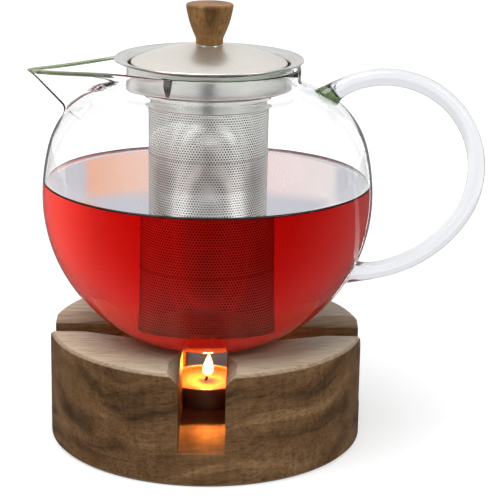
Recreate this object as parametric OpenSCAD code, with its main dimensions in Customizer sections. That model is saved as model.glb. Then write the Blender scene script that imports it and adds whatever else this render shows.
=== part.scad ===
// Glass teapot with a lift-out infuser, a domed lid and a wooden candle warmer.
// Millimetres, +Z up. The origin is the middle of the warmer's underside.
// The spout points along -X and the handle along +X.

/* [Warmer] */
// Outer diameter of the wooden block
block_d = 154; // [145:1:185]
// Height of the wooden block
block_h = 55; // [50:1:66]
// Width of the two crossing channels
channel_w = 22; // [18:0.5:26]
// Height of the channels' floor above the table
channel_floor = 16.5; // [13:0.5:20]
// Width of the bevel along the channels' top edges
channel_bevel = 5; // [2:0.5:6]
// Diameter of the shallow dish in the top
dish_d = 122; // [108:1:132]
// Depth of the dish where the pot stands
dish_depth = 4.5; // [3:0.5:6]
// Diameter of the flat seat inside the dish
seat_d = 74; // [70:1:80]

/* [Tealight] */
// Diameter of the candle cup
cup_d = 38; // [36:0.5:40]
// Height of the candle cup
cup_h = 12.5; // [11:0.5:15]
// Free space between the cup and its pocket, all round
cup_clearance = 1.2; // [0.5:0.1:2]
// Depth of the pocket below the channels' floor
pocket_recess = 2.2; // [1:0.1:3]
// Length of wick that stands above the wax
wick_stand = 5; // [3:0.5:7]

/* [Glass pot] */
// Largest diameter of the pot
body_d = 160; // [133:1:192]
// Diameter of the flat that the pot stands on
foot_d = 65; // [54:1:68]
// Outer diameter of the neck
neck_d = 88; // [74:1:100]
// Height of the straight part of the neck
neck_h = 6.5; // [5:0.5:9]
// Thickness of the glass
glass_t = 1.8; // [1.4:0.1:2.4]
// Diameter of the handle's glass rod
rod_d = 8.3; // [7:0.1:10]
// How far the spout's lip stands out from the pot's axis
spout_reach = 91; // [84:1:100]
// Radius of the lip at the spout's tip
lip_r = 4; // [3:0.5:6]
// How far the rim dips on its way to the spout's tip
lip_drop = 3.2; // [1:0.2:4]

/* [Infuser] */
// How far the funnel-shaped flange stands out past the neck
flange_lap = 1; // [0.6:0.2:4]
// Space between the collar and the neck's wall, all round
collar_gap = 2.8; // [2:0.2:4]
// Thickness of the steel sheet
sheet_t = 0.6; // [0.4:0.1:1]
// Outer diameter of the perforated sleeve
sleeve_d = 57.6; // [46:0.2:60]
// Gap between the sleeve's floor and the glass below it
sleeve_gap = 9.5; // [6:0.5:20]
// Diameter of one perforation
hole_d = 2; // [1.2:0.1:2.6]
// Number of perforations around the sleeve, an even number
holes_round = 24; // [12:2:30]
// Number of rows of perforations
hole_rows = 12; // [6:1:16]
// Number of spring tongues round the collar
tongue_count = 3; // [2:1:4]

/* [Lid] */
// How much smaller the dome's radius is than the collar's
dome_inset = 2; // [1.4:0.2:4]
// Radius of the dome's sphere
dome_sphere_r = 88; // [70:1:120]
// Height of the knob
knob_h = 19.4; // [16:0.2:24]
// Diameter of the knob's top
knob_top_d = 22.6; // [18:0.2:26]
// Diameter of the knob's foot
knob_foot_d = 13.2; // [12:0.2:16]
// Diameter of the steam hole
steam_hole_d = 3; // [2:0.5:4]
// Diameter of the screw that holds the knob
screw_d = 4; // [3:0.5:5]

/* [Fits] */
// Free space where a loose part sits in another
lift_clearance = 0.25; // [0.15:0.05:0.5]
// Free space round the knob's screw
screw_clearance = 0.1; // [0.05:0.05:0.3]

/* [Hidden] */
$fn = 96;

eps = 0.01;
far = 300;

// Warmer levels
seat_z = block_h - dish_depth;
pocket_z = channel_floor - pocket_recess;
edge_round = 1.5;

// Tealight sizes
cup_r = cup_d / 2;
cup_t = 0.3;
cup_taper = 0.4;
cup_corner = 1.6;
rim_bead_r = 0.5;
wax_top_z = pocket_z + cup_h - 1.4;
sustainer_r = 6;
sustainer_neck_r = 1.4;
sustainer_neck_h = 3;
wick_r = 0.75;
wick_lean = 28;

// Pot outline: a lower arc, a flatter arc above the widest ring, a shoulder arc and a
// hollow arc up into the neck, each one tangent to the next
body_r = body_d / 2;
neck_r = neck_d / 2;
lower_off = 4;
lower_r = body_r - lower_off;
foot_r = foot_d / 2;
widest_z = seat_z + sqrt(pow(lower_r, 2) - pow(foot_r - lower_off, 2));
flank_r = 1.25 * body_r;
flank_angle = 14;
flank_c = [body_r - flank_r, widest_z];
shoulder_r = body_r / 2;
shoulder_c = flank_c + (flank_r - shoulder_r) * [cos(flank_angle), sin(flank_angle)];
hollow_r = 4;
hollow_angle = acos((neck_r + hollow_r - shoulder_c[0]) / (shoulder_r + hollow_r));
hollow_c = shoulder_c + (shoulder_r + hollow_r) * [cos(hollow_angle), sin(hollow_angle)];
neck_z = hollow_c[1];
rim_z = neck_z + neck_h;
rim_r = glass_t / 2;
foot_angle = asin((widest_z - seat_z) / lower_r);

// Spout: a cone whose underside climbs from the pot's flank to the lip
spout_under_angle = 49;
spout_half_angle = 28;
spout_axis_angle = spout_under_angle - spout_half_angle;
spout_len = 52;
lip_depth = 2.4;
lip_under = [-spout_reach, rim_z - lip_drop - lip_depth];
spout_down = [-sin(spout_axis_angle), -cos(spout_axis_angle)];
spout_tip = lip_under - lip_r * spout_down;
spout_root_r = lip_r + spout_len * tan(spout_half_angle);
spout_wall = glass_t / cos(spout_half_angle);
spout_cut_past = 3;

// Handle: one large arc, a wider arc under it and two short straight ends
rod_r = rod_d / 2;
handle_r = 0.5625 * body_r;
handle_c = [body_r + 5, widest_z + 0.18 * body_r];
handle_top_angle = 140;
handle_low_angle = -35;
handle_under_r = 0.775 * body_r;
handle_under_c = handle_c + (handle_r - handle_under_r) * [cos(handle_low_angle), sin(handle_low_angle)];
handle_end_z = handle_under_c[1] - handle_under_r;
handle_end_angle = -100;
weld_angle = 128;
weld_r = 1.7 * rod_r;
weld_h = 5;
weld_sink = 4;
seam_len = 1;
seam_proud = 0.05;

// Infuser levels
flange_r = neck_r + flange_lap;
collar_r = neck_r - glass_t - collar_gap;
sleeve_r = sleeve_d / 2;
flange_slope = 48;
flange_h = (flange_r - collar_r) * tan(flange_slope);
rim_mid_r = neck_r - rim_r;
// Height of the flange's foot, set so that the cone clears the rounded rim by the fit
collar_top_z = rim_z - rim_r + (rim_r + lift_clearance) / cos(flange_slope)
               - (rim_mid_r - collar_r) * tan(flange_slope);
flange_z = collar_top_z + flange_h;
collar_h = 7.5;
collar_low_z = collar_top_z - collar_h;
shoulder_drop = 3.4;
band_top_z = collar_low_z - shoulder_drop;
band_h = 4.4;
band_t = 1.4;
sleeve_low_z = seat_z + glass_t + sleeve_gap;
sleeve_top_z = band_top_z + sheet_t;
flange_bead_r = 0.7;
bend_r = 1.4;
tongue_h = 6.4;
tongue_top_w = 4.4;
tongue_low_w = 1.6;
tongue_gap = 0.35;
tongue_bar_w = 6.8;
tongue_bar_h = 1;
tongue_root = 0.6;
tongue_first_angle = 243;
tongue_lean = neck_r - glass_t - lift_clearance - collar_r;

// Perforations
hole_margin = 6;
hole_pitch = (band_top_z - band_h - sleeve_low_z - 2 * hole_margin) / (hole_rows - 1);
floor_rings = 3;
floor_ring_pitch = 7.5;

// Lid levels
dome_r = collar_r - dome_inset;
dome_sink = 1.4;
skirt_r = dome_r - sheet_t;
shoulder_slope = atan(shoulder_drop / (collar_r - sleeve_r - band_t));
skirt_low_z = collar_low_z - (collar_r - skirt_r) * tan(shoulder_slope) + sheet_t / cos(shoulder_slope)
              + lift_clearance;
dome_edge_z = flange_z - dome_sink;
dome_lip_h = 1.5;
skirt_lap = 0.5;
dome_c = dome_edge_z - sqrt(pow(dome_sphere_r, 2) - pow(dome_r, 2));
dome_flat_r = 8;
dome_top_z = dome_c + sqrt(pow(dome_sphere_r, 2) - pow(dome_flat_r, 2));
steam_hole_at = [25.5, 11];
washer_h = 0.4;
washer_r = knob_foot_d / 2 - 0.5;
knob_z = dome_top_z + washer_h;
knob_foot_h = 3.1;
knob_bulge_r = 50;
knob_top_round = 0.8;
screw_head_r = 0.95 * screw_d;
screw_head_h = 0.55 * screw_d;
screw_grip = 10;

// ---- Outline functions ----

// Points along an arc round c from angle a to angle b
function arc(c, r, a, b, n = 10) = [for (i = [0:n]) let (t = a + (b - a) * i / n) c + r * [cos(t), sin(t)]];

function unit(v) = v / norm(v);
function left_of(p, q) = let (d = unit(q - p)) [-d[1], d[0]];

// The point q of a bent line, moved sideways by t so that both stretches move by t
function mitre(p, q, r, t) = let (a = left_of(p, q), b = left_of(q, r), m = unit(a + b)) q + m * t / (m * a);

// A bent line moved sideways by t, to its left where t is positive
function beside(line, t) = let (last = len(line) - 1) [
    for (i = [0:last])
        i == 0 ? line[0] + t * left_of(line[0], line[1])
        : i == last ? line[last] + t * left_of(line[last - 1], line[last])
        : mitre(line[i - 1], line[i], line[i + 1], t)
];

function backwards(line) = [for (i = [len(line) - 1:-1:0]) line[i]];

// The outline of a sheet of thickness t whose face follows the line
function sheet(line, t) = concat(line, backwards(beside(line, t)));

// The corner q between p and r, rounded to radius rad
function round_corner(p, q, r, rad, n = 5) =
    let (
        a = unit(p - q),
        b = unit(r - q),
        half = acos(a * b) / 2,
        start = q + a * rad / tan(half),
        c = q + unit(a + b) * rad / sin(half),
        from = atan2(start[1] - c[1], start[0] - c[0]),
        turn = 180 - 2 * half,
        side = a[0] * b[1] - a[1] * b[0] > 0 ? 1 : -1
    )
    arc(c, rad, from, from - side * turn, n);

// A bent line with each inner corner rounded
function rounded(line, rad) = let (last = len(line) - 1) [
    for (i = [0:last])
        each (i == 0 || i == last ? [line[i]] : round_corner(line[i - 1], line[i], line[i + 1], rad))
];

// Points along an arc of radius r from p up to q, with its middle to the right of the way
function bulge(p, q, r, n = 8) =
    let (
        half = norm(q - p) / 2,
        c = (p + q) / 2 + left_of(p, q) * sqrt(r * r - half * half),
        from = atan2(p[1] - c[1], p[0] - c[0]),
        sweep = 2 * asin(half / r)
    )
    arc(c, r, from, from + sweep, n);

// Radius of the pot's outside at a height below its widest ring
function pot_radius(z) = lower_off + sqrt(pow(lower_r, 2) - pow(widest_z - z, 2));

// ---- Warmer ----

// Cross-section of a channel: straight walls with a bevel at the top
module channel_section() {
    half = channel_w / 2;
    polygon([
        [-half, channel_floor], [half, channel_floor], [half, block_h - channel_bevel],
        [half + channel_bevel + 1, block_h + 1], [-half - channel_bevel - 1, block_h + 1],
        [-half, block_h - channel_bevel]
    ]);
}

module dish() {
    rotate_extrude()
        polygon([
            [0, seat_z], [seat_d / 2, seat_z], [dish_d / 2, block_h], [dish_d / 2, block_h + 1],
            [0, block_h + 1]
        ]);
}

module block_blank() {
    r = block_d / 2;
    rotate_extrude()
        polygon([
            [0, 0], [r - edge_round, 0], [r, edge_round], [r, block_h - edge_round],
            [r - edge_round, block_h], [0, block_h]
        ]);
}

module warmer_block() {
    color([0.45, 0.33, 0.22])
        difference() {
            block_blank();
            dish();
            for (turn = [0, 90])
                rotate([0, 0, turn])
                    rotate([90, 0, 0])
                        translate([0, 0, -block_d])
                            linear_extrude(height = 2 * block_d)
                                channel_section();
            translate([0, 0, pocket_z])
                cylinder(r = cup_r + rim_bead_r + cup_clearance, h = block_h);
        }
}

// ---- Tealight ----

// The cup's outer outline, from the middle of its foot up to its rim
function cup_line() = rounded([
    [0, pocket_z], [cup_r - cup_taper - rim_bead_r, pocket_z],
    [cup_r - rim_bead_r, pocket_z + cup_h - rim_bead_r]
], cup_corner);

module tealight_cup() {
    color("silver")
        rotate_extrude()
            union() {
                polygon(sheet(cup_line(), cup_t));
                translate([cup_r - rim_bead_r, pocket_z + cup_h - rim_bead_r])
                    circle(r = rim_bead_r, $fn = 24);
            }
}

module tealight_wax() {
    inner = beside(cup_line(), cup_t);
    color([0.95, 0.85, 0.6])
        difference() {
            intersection() {
                rotate_extrude()
                    polygon(concat(inner, [[0, pocket_z + cup_h - rim_bead_r]]));
                cylinder(r = cup_r - rim_bead_r - cup_t - 0.05, h = wax_top_z);
            }
            sustainer_shape();
            wick_shape();
        }
}

module sustainer_shape() {
    z = pocket_z + cup_t;
    translate([0, 0, z])
        cylinder(r = sustainer_r, h = cup_t);
    translate([0, 0, z])
        cylinder(r = sustainer_neck_r, h = sustainer_neck_h);
}

module wick_sustainer() {
    color("gainsboro")
        difference() {
            sustainer_shape();
            wick_shape();
        }
}

// The wick stands straight in the wax and leans over above it
module wick_shape() {
    straight = wax_top_z - pocket_z - 2 * cup_t + wick_stand / 2;
    translate([0, 0, pocket_z + 2 * cup_t]) {
        cylinder(r = wick_r, h = straight, $fn = 24);
        translate([0, 0, straight - wick_r])
            rotate([0, wick_lean, 0])
                cylinder(r = wick_r, h = wick_stand / 2 + wick_r, $fn = 24);
    }
}

module tealight_wick() {
    color([0.12, 0.1, 0.1])
        wick_shape();
}

// ---- Glass pot ----

// The pot's outer outline from the middle of its foot up to the top of the neck
function pot_line() = concat(
    [[0, seat_z]],
    arc([lower_off, widest_z], lower_r, -foot_angle, 0, 12),
    arc(flank_c, flank_r, flank_angle / 3, flank_angle, 2),
    arc(shoulder_c, shoulder_r, flank_angle + 8, hollow_angle, 7),
    arc(hollow_c, hollow_r, hollow_angle + 165, 180, 4),
    [[neck_r, rim_z - rim_r]]
);

module pot_outside() {
    rotate_extrude()
        polygon(concat(pot_line(), arc([neck_r - rim_r, rim_z - rim_r], rim_r, 20, 90, 4), [[0, rim_z]]));
}

module pot_inside() {
    rotate_extrude()
        polygon(concat(
            beside(pot_line(), glass_t),
            arc([neck_r - rim_r, rim_z - rim_r], rim_r, 160, 90, 4),
            [[neck_r - rim_r, rim_z + 1], [0, rim_z + 1]]
        ));
}

// A cone along the spout's axis, past its tip by more where it cuts
module spout_cone(shrink, past) {
    root_r = spout_root_r - shrink;
    tip_r = lip_r - shrink;
    slope = (root_r - tip_r) / spout_len;
    translate([spout_tip[0], 0, spout_tip[1]])
        rotate([0, -90 + spout_axis_angle, 0])
            translate([0, 0, -spout_len])
                cylinder(r1 = root_r, r2 = tip_r - slope * past, h = spout_len + past);
}

// Everything above the pot's rim, dipping towards the spout's lip
module above_rim() {
    dip = atan(lip_drop / (spout_reach - neck_r));
    translate([-neck_r, 0, rim_z])
        rotate([0, -dip, 0])
            translate([-far, -far / 2, 0])
                cube([far, far, far]);
    translate([-far / 2, -far / 2, rim_z])
        cube([far, far, far]);
}

module glass_body() {
    color([0.85, 0.93, 0.95, 0.4])
        difference() {
            union() {
                pot_outside();
                difference() {
                    spout_cone(0, 0);
                    above_rim();
                }
            }
            pot_inside();
            spout_cone(spout_wall, spout_cut_past);
        }
}

// An arc of glass rod in the XZ plane, from angle a to angle b
module rod_arc(c, r, a, b) {
    translate([c[0], 0, c[1]])
        rotate([90, 0, 0])
            rotate([0, 0, a])
                rotate_extrude(angle = b - a)
                    translate([r, 0])
                        circle(r = rod_r, $fn = 48);
}

// A flared pad where the rod is fused to the pot, coaxial with the rod's end
module weld_pad(at, tilt) {
    translate([at[0], 0, at[1]])
        rotate([0, tilt, 0])
            translate([0, 0, -weld_sink])
                cylinder(r1 = weld_r, r2 = rod_r + 0.4, h = weld_sink + weld_h, $fn = 48);
}

// A short length of rod, a hair thicker, that takes up the seam between the two arcs
module rod_seam() {
    at = handle_c + handle_r * [cos(handle_low_angle), sin(handle_low_angle)];
    translate([at[0], 0, at[1]])
        rotate([0, -handle_low_angle, 0])
            cylinder(r = rod_r + seam_proud, h = seam_len, center = true, $fn = 48);
}

module glass_handle() {
    color([0.85, 0.93, 0.95, 0.5])
        difference() {
            union() {
                rod_arc(handle_c, handle_r, handle_low_angle, handle_top_angle);
                rod_arc(handle_under_c, handle_under_r, handle_end_angle, handle_low_angle);
                rod_seam();
                weld_pad(handle_c + handle_r * [cos(weld_angle), sin(weld_angle)], 180 - weld_angle);
                weld_pad([pot_radius(handle_end_z), handle_end_z], 90);
            }
            pot_outside();
        }
}

// ---- Infuser ----

function collar_line() = rounded([
    [flange_r, flange_z], [collar_r, collar_top_z], [collar_r, collar_low_z], [sleeve_r + band_t, band_top_z]
], bend_r);

// T-shaped opening that frees one tongue, cut through the collar's wall
module tongue_slot() {
    low_z = collar_low_z + bend_r / 2;
    top_z = low_z + tongue_h;
    rotate([90, 0, 90])
        linear_extrude(height = neck_r)
            polygon([
                [-tongue_low_w / 2, low_z], [tongue_low_w / 2, low_z], [tongue_top_w / 2, top_z],
                [tongue_bar_w / 2, top_z], [tongue_bar_w / 2, top_z + tongue_bar_h],
                [-tongue_bar_w / 2, top_z + tongue_bar_h], [-tongue_bar_w / 2, top_z],
                [-tongue_top_w / 2, top_z]
            ]);
}

// Wedge-shaped spring tongue, rooted at its narrow end and leaning out to the glass
module tongue() {
    low_z = collar_low_z + bend_r / 2;
    lean = asin(tongue_lean / tongue_h);
    low_w = tongue_low_w / 2 + tongue_gap;
    top_w = tongue_top_w / 2 - tongue_gap;
    translate([collar_r - sheet_t, 0, low_z])
        rotate([0, lean, 0])
            rotate([90, 0, 90])
                linear_extrude(height = sheet_t)
                    polygon([
                        [-low_w, -tongue_root], [low_w, -tongue_root], [top_w, tongue_h - tongue_root],
                        [-top_w, tongue_h - tongue_root]
                    ]);
}

module infuser_collar() {
    color([0.78, 0.79, 0.8]) {
        difference() {
            rotate_extrude()
                union() {
                    polygon(sheet(collar_line(), -sheet_t));
                    translate([flange_r - flange_bead_r / 2, flange_z])
                        circle(r = flange_bead_r, $fn = 24);
                }
            for (i = [0:tongue_count - 1])
                rotate([0, 0, tongue_first_angle + i * 360 / tongue_count])
                    tongue_slot();
        }
        for (i = [0:tongue_count - 1])
            rotate([0, 0, tongue_first_angle + i * 360 / tongue_count])
                tongue();
    }
}

module infuser_band() {
    color([0.72, 0.73, 0.74])
        translate([0, 0, band_top_z - band_h])
            difference() {
                cylinder(r = sleeve_r + band_t, h = band_h);
                translate([0, 0, -1])
                    cylinder(r = sleeve_r, h = band_h + 2);
            }
}

// One row of perforations: a star of flat arms that reaches out through the tube's wall
module hole_row(z, turn) {
    translate([0, 0, z - hole_d / 2])
        linear_extrude(height = hole_d)
            for (i = [0:holes_round / 2 - 1])
                rotate(turn + i * 360 / holes_round)
                    square([3 * sleeve_r, hole_d], center = true);
}

module infuser_sleeve() {
    color([0.7, 0.71, 0.72])
        difference() {
            translate([0, 0, sleeve_low_z])
                cylinder(r = sleeve_r, h = sleeve_top_z - sleeve_low_z);
            translate([0, 0, sleeve_low_z - 1])
                cylinder(r = sleeve_r - sheet_t, h = sleeve_top_z - sleeve_low_z + 2);
            for (row = [0:hole_rows - 1])
                hole_row(sleeve_low_z + hole_margin + row * hole_pitch, (row % 2) * 180 / holes_round);
        }
}

module infuser_bottom() {
    color([0.7, 0.71, 0.72])
        translate([0, 0, sleeve_low_z])
            difference() {
                cylinder(r = sleeve_r - sheet_t, h = sheet_t);
                translate([0, 0, -1])
                    cylinder(r = hole_d / 2, h = 3, $fn = 24);
                for (ring = [1:floor_rings], i = [0:6 * ring - 1])
                    rotate([0, 0, i * 60 / ring])
                        translate([ring * floor_ring_pitch, 0, -1])
                            cylinder(r = hole_d / 2, h = 3, $fn = 24);
            }
}

// ---- Lid ----

module lid_dome() {
    edge_angle = acos(dome_r / dome_sphere_r);
    flat_angle = acos(dome_flat_r / dome_sphere_r);
    line = concat(
        [[dome_r, dome_edge_z - dome_lip_h]],
        arc([0, dome_c], dome_sphere_r, edge_angle, flat_angle, 12),
        [[0, dome_top_z]]
    );
    color([0.75, 0.76, 0.77])
        difference() {
            rotate_extrude()
                polygon(sheet(line, sheet_t));
            cylinder(r = screw_d / 2 + screw_clearance, h = far, $fn = 32);
            translate([steam_hole_at[0], steam_hole_at[1], 0])
                cylinder(r = steam_hole_d / 2, h = far, $fn = 32);
        }
}

module lid_skirt() {
    color([0.72, 0.73, 0.74])
        translate([0, 0, skirt_low_z])
            difference() {
                cylinder(r = skirt_r, h = dome_edge_z - skirt_lap - skirt_low_z);
                translate([0, 0, -1])
                    cylinder(r = skirt_r - sheet_t, h = far);
            }
}

module knob_washer() {
    color("silver")
        translate([0, 0, dome_top_z])
            difference() {
                cylinder(r = washer_r, h = washer_h);
                translate([0, 0, -1])
                    cylinder(r = screw_d / 2 + screw_clearance, h = washer_h + 2, $fn = 32);
            }
}

module lid_knob() {
    foot_r = knob_foot_d / 2;
    top_r = knob_top_d / 2;
    top_z = knob_z + knob_h;
    line = concat(
        [[foot_r, knob_z]],
        bulge([foot_r, knob_z + knob_foot_h], [top_r, top_z - knob_top_round], knob_bulge_r),
        [[top_r - knob_top_round, top_z], [0, top_z]]
    );
    color([0.62, 0.45, 0.3])
        difference() {
            rotate_extrude()
                polygon(concat([[0, knob_z]], line));
            translate([0, 0, knob_z - 1])
                cylinder(r = screw_d / 2 + screw_clearance, h = screw_grip + 1.5, $fn = 32);
        }
}

module knob_screw() {
    seat = dome_top_z - sheet_t;
    color("gainsboro") {
        translate([0, 0, seat - screw_head_h])
            cylinder(r = screw_head_r, h = screw_head_h);
        translate([0, 0, seat - eps])
            cylinder(r = screw_d / 2, h = knob_z - seat + screw_grip, $fn = 32);
    }
}

warmer_block();
tealight_cup();
tealight_wax();
wick_sustainer();
tealight_wick();
glass_body();
glass_handle();
infuser_collar();
infuser_band();
infuser_sleeve();
infuser_bottom();
lid_dome();
lid_skirt();
knob_washer();
lid_knob();
knob_screw();
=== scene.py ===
"""The glass teapot set: every visible surface, its finish, the studio and the camera.

Lengths are written in millimetres and turned to metres as meshes are made. The pot stands on the
Z axis, its spout along -X and its handle along +X, and the front is -Y.
"""

import math
from functools import partial

import bpy
import numpy as np
from mathutils import Matrix, Vector


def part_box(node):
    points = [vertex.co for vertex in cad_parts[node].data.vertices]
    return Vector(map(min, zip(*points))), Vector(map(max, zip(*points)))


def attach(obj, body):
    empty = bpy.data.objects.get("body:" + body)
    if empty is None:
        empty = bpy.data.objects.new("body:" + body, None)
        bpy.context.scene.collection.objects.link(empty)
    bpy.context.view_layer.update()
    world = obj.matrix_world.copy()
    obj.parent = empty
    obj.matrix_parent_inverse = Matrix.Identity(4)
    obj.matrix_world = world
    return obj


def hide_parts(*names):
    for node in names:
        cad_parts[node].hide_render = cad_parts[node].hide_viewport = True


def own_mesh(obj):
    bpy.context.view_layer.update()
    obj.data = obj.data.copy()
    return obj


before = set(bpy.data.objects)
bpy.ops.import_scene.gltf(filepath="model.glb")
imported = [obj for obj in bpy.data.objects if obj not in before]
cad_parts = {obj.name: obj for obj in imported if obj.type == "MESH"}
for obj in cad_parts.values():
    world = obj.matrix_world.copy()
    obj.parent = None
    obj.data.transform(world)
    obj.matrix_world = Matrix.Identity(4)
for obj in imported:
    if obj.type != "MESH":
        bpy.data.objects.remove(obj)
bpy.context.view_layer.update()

MM = 0.001

# ---------------------------------------------------------------- sizes from the frame


def heading(angle):
    """The unit vector at an angle in radians."""
    return np.array([math.cos(angle), math.sin(angle)])


def corners(node):
    """The lowest and highest corner of a CAD node, in millimetres."""
    low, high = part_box(node)
    return np.array(low) / MM, np.array(high) / MM


BLOCK_TOP = corners("warmer_block")[1][2]
BODY_LOW, BODY_HIGH = corners("glass_body")
COLLAR_LOW, COLLAR_HIGH = corners("infuser_collar")
BAND_LOW, BAND_HIGH = corners("infuser_band")
SLEEVE_LOW, SLEEVE_HIGH = corners("infuser_sleeve")
DOME_LOW, DOME_HIGH = corners("lid_dome")
KNOB_LOW, KNOB_HIGH = corners("lid_knob")
CUP_LOW, CUP_HIGH = corners("tealight_cup")
WAX_LOW, WAX_HIGH = corners("tealight_wax")
WICK_LOW, WICK_HIGH = corners("tealight_wick")

GLASS_T = 1.8
SHEET_T = 0.6
BODY_R = BODY_HIGH[1]
NECK_R = 44.0
FOOT_R = 32.5
FOOT_Z = BODY_LOW[2]
FOOT_HOLLOW = 0.9
RIM_Z = BODY_HIGH[2]
SPOUT_REACH = -BODY_LOW[0]

# The pot's profile: a lower arc, a flatter flank arc, a shoulder arc and a hollow up to the neck
LOWER_OFF = 4.0
LOWER_R = BODY_R - LOWER_OFF
WIDEST_Z = FOOT_Z + math.sqrt(LOWER_R**2 - (FOOT_R - LOWER_OFF) ** 2)
FLANK_R = 1.25 * BODY_R
FLANK_ANGLE = math.radians(14)
FLANK_C = np.array([BODY_R - FLANK_R, WIDEST_Z])
SHOULDER_R = BODY_R / 2
SHOULDER_C = FLANK_C + (FLANK_R - SHOULDER_R) * heading(FLANK_ANGLE)
HOLLOW_R = 4.0
HOLLOW_ANGLE = math.acos((NECK_R + HOLLOW_R - SHOULDER_C[0]) / (SHOULDER_R + HOLLOW_R))
HOLLOW_C = SHOULDER_C + (SHOULDER_R + HOLLOW_R) * heading(HOLLOW_ANGLE)

# The tea stands a little above the pot's widest ring
TEA_Z = 128.0
TEA_IOR = 1.13
TEA_CLEAR = "#F56834"
TEA_DENSITY = 56.0
GLASS_IOR = 1.47

# The infuser's collar, from its shoulder up to its flange
FLANGE_R = COLLAR_HIGH[0]
FLANGE_Z = COLLAR_HIGH[2] - 0.7
COLLAR_R = 39.4
SHOULDER_Z = COLLAR_LOW[2] + 3.4
TONGUE_Z = SHOULDER_Z + 0.9
TONGUE_ANGLES = [math.radians(243 + 120 * i) for i in range(3)]
SLEEVE_R = SLEEVE_HIGH[0]
BAND_R = BAND_HIGH[0]

# ---------------------------------------------------------------- meshes from arrays


def placed(name, data):
    """A new object in the scene that shows the given data."""
    thing = bpy.data.objects.new(name, data)
    bpy.context.scene.collection.objects.link(thing)
    return thing


def make_piece(name, points, faces, material, body, smooth_angle=None):
    """A mesh object at the origin from an N x 3 array in millimetres and a list of face arrays."""
    mesh = bpy.data.meshes.new(name)
    faces = [f for f in faces if len(f)]
    loops = np.concatenate([f.ravel() for f in faces]).astype(np.int32)
    counts = np.concatenate([np.full(len(f), f.shape[1]) for f in faces]).astype(np.int32)
    starts = np.concatenate([[0], np.cumsum(counts)[:-1]]).astype(np.int32)
    mesh.vertices.add(len(points))
    mesh.vertices.foreach_set("co", (np.asarray(points, float) * MM).ravel())
    mesh.loops.add(len(loops))
    mesh.loops.foreach_set("vertex_index", loops)
    mesh.polygons.add(len(counts))
    mesh.polygons.foreach_set("loop_start", starts)
    mesh.polygons.foreach_set("loop_total", counts)
    mesh.polygons.foreach_set("use_smooth", np.ones(len(counts), bool))
    mesh.update(calc_edges=True)
    mesh.validate()
    if smooth_angle is not None:
        mesh.set_sharp_from_angle(angle=math.radians(smooth_angle))
    mesh.materials.append(material)
    piece = placed(name, mesh)
    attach(piece, body)
    return piece


def second_material(piece, material, first, last=None):
    """A second material on the piece's faces from first up to last, in the order they were made."""
    piece.data.materials.append(material)
    slots = np.zeros(len(piece.data.polygons), np.int32)
    slots[first:last] = 1
    piece.data.polygons.foreach_set("material_index", slots)


def round_angles(columns):
    """Evenly spaced angles round a whole turn."""
    return np.linspace(0, 2 * np.pi, columns, endpoint=False)


def ring_quads(count, columns, strips):
    """Quads between neighbouring closed rows, in strips of one row to the next and round to the first."""
    i, j = np.meshgrid(np.arange(strips), np.arange(columns), indexing="ij")
    k, n = (j + 1) % columns, (i + 1) % count
    return np.stack([i * columns + j, i * columns + k, n * columns + k, n * columns + j], -1).reshape(-1, 4)


def pole_fan(pole, row, columns, flip):
    """Triangles from one pole vertex to a closed row of vertices."""
    j = np.arange(columns)
    k = (j + 1) % columns
    fan = np.stack([np.full(columns, pole), row + k, row + j], -1)
    return fan[:, ::-1] if flip else fan


def closed_rows(rows, low_pole, high_pole):
    """Points and faces of a shell: a stack of closed rows with a pole at each end.

    rows is R x C x 3. The first pole joins the first row and the second pole the last row.
    """
    count, columns = rows.shape[:2]
    points = np.concatenate([rows.reshape(-1, 3), [low_pole], [high_pole]])
    last = count * columns
    faces = [
        pole_fan(last, 0, columns, False),
        ring_quads(count, columns, count - 1),
        pole_fan(last + 1, (count - 1) * columns, columns, True),
    ]
    return points, faces


def closed_ring(rows):
    """Points and faces of a ring: closed rows whose last one joins the first."""
    count, columns = rows.shape[:2]
    return rows.reshape(-1, 3), [ring_quads(count, columns, count)]


def turn(profile, columns):
    """The profile's (radius, height) points turned round the Z axis, as R x C x 3 points."""
    angle = round_angles(columns)
    r, z = profile[:, 0, None], profile[:, 1, None]
    return np.stack([r * np.cos(angle), r * np.sin(angle), z + 0 * angle], -1)


def turned_solid(profile, columns):
    """A closed solid of revolution: the profile runs from the axis below to the axis above."""
    return closed_rows(turn(profile[1:-1], columns), (0, 0, profile[0, 1]), (0, 0, profile[-1, 1]))


def turned_ring(profile, columns):
    """A closed ring: the profile is a loop that doesn't meet the axis, anticlockwise seen from -Y."""
    return closed_ring(turn(profile, columns))


def rod(centre, radius, columns):
    """Closed rows round a line in the XZ plane, and the line's directions.

    Each point is the centre plus radius x (cos a across the line + sin a along Y). radius is R x 1,
    or R x C where it changes round the rod.
    """
    ahead = np.gradient(centre, axis=0)
    ahead /= np.linalg.norm(ahead, axis=1, keepdims=True)
    side = np.array([0.0, 1.0, 0.0])
    up = np.cross(ahead, side)
    angle = round_angles(columns)[None, :, None]
    rows = centre[:, None] + radius[..., None] * (np.cos(angle) * up[:, None] + np.sin(angle) * side)
    return rows, ahead


def rod_piece(name, rows, material, body):
    """A closed rod's piece, with a pole in the middle of each end and its faces looking outwards."""
    points, faces = closed_rows(rows, rows[0].mean(0), rows[-1].mean(0))
    return make_piece(name, points, [f[:, ::-1] for f in faces], material, body)


def arc(centre, radius, start, end, count):
    """Points along an arc round a centre, angles in radians."""
    t = np.linspace(start, end, count)
    return np.stack([centre[0] + radius * np.cos(t), centre[1] + radius * np.sin(t)], -1)


def circle(centre, radius, sides):
    """A closed outline of sides points round a centre."""
    return arc(centre, radius, 0, 2 * np.pi, sides + 1)[:-1]


def offset_line(line, t):
    """An open line moved to its left by t, along the mean normal at each point."""
    d = np.gradient(line, axis=0)
    n = np.stack([-d[:, 1], d[:, 0]], -1)
    return line + t * n / np.linalg.norm(n, axis=1, keepdims=True)


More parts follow.
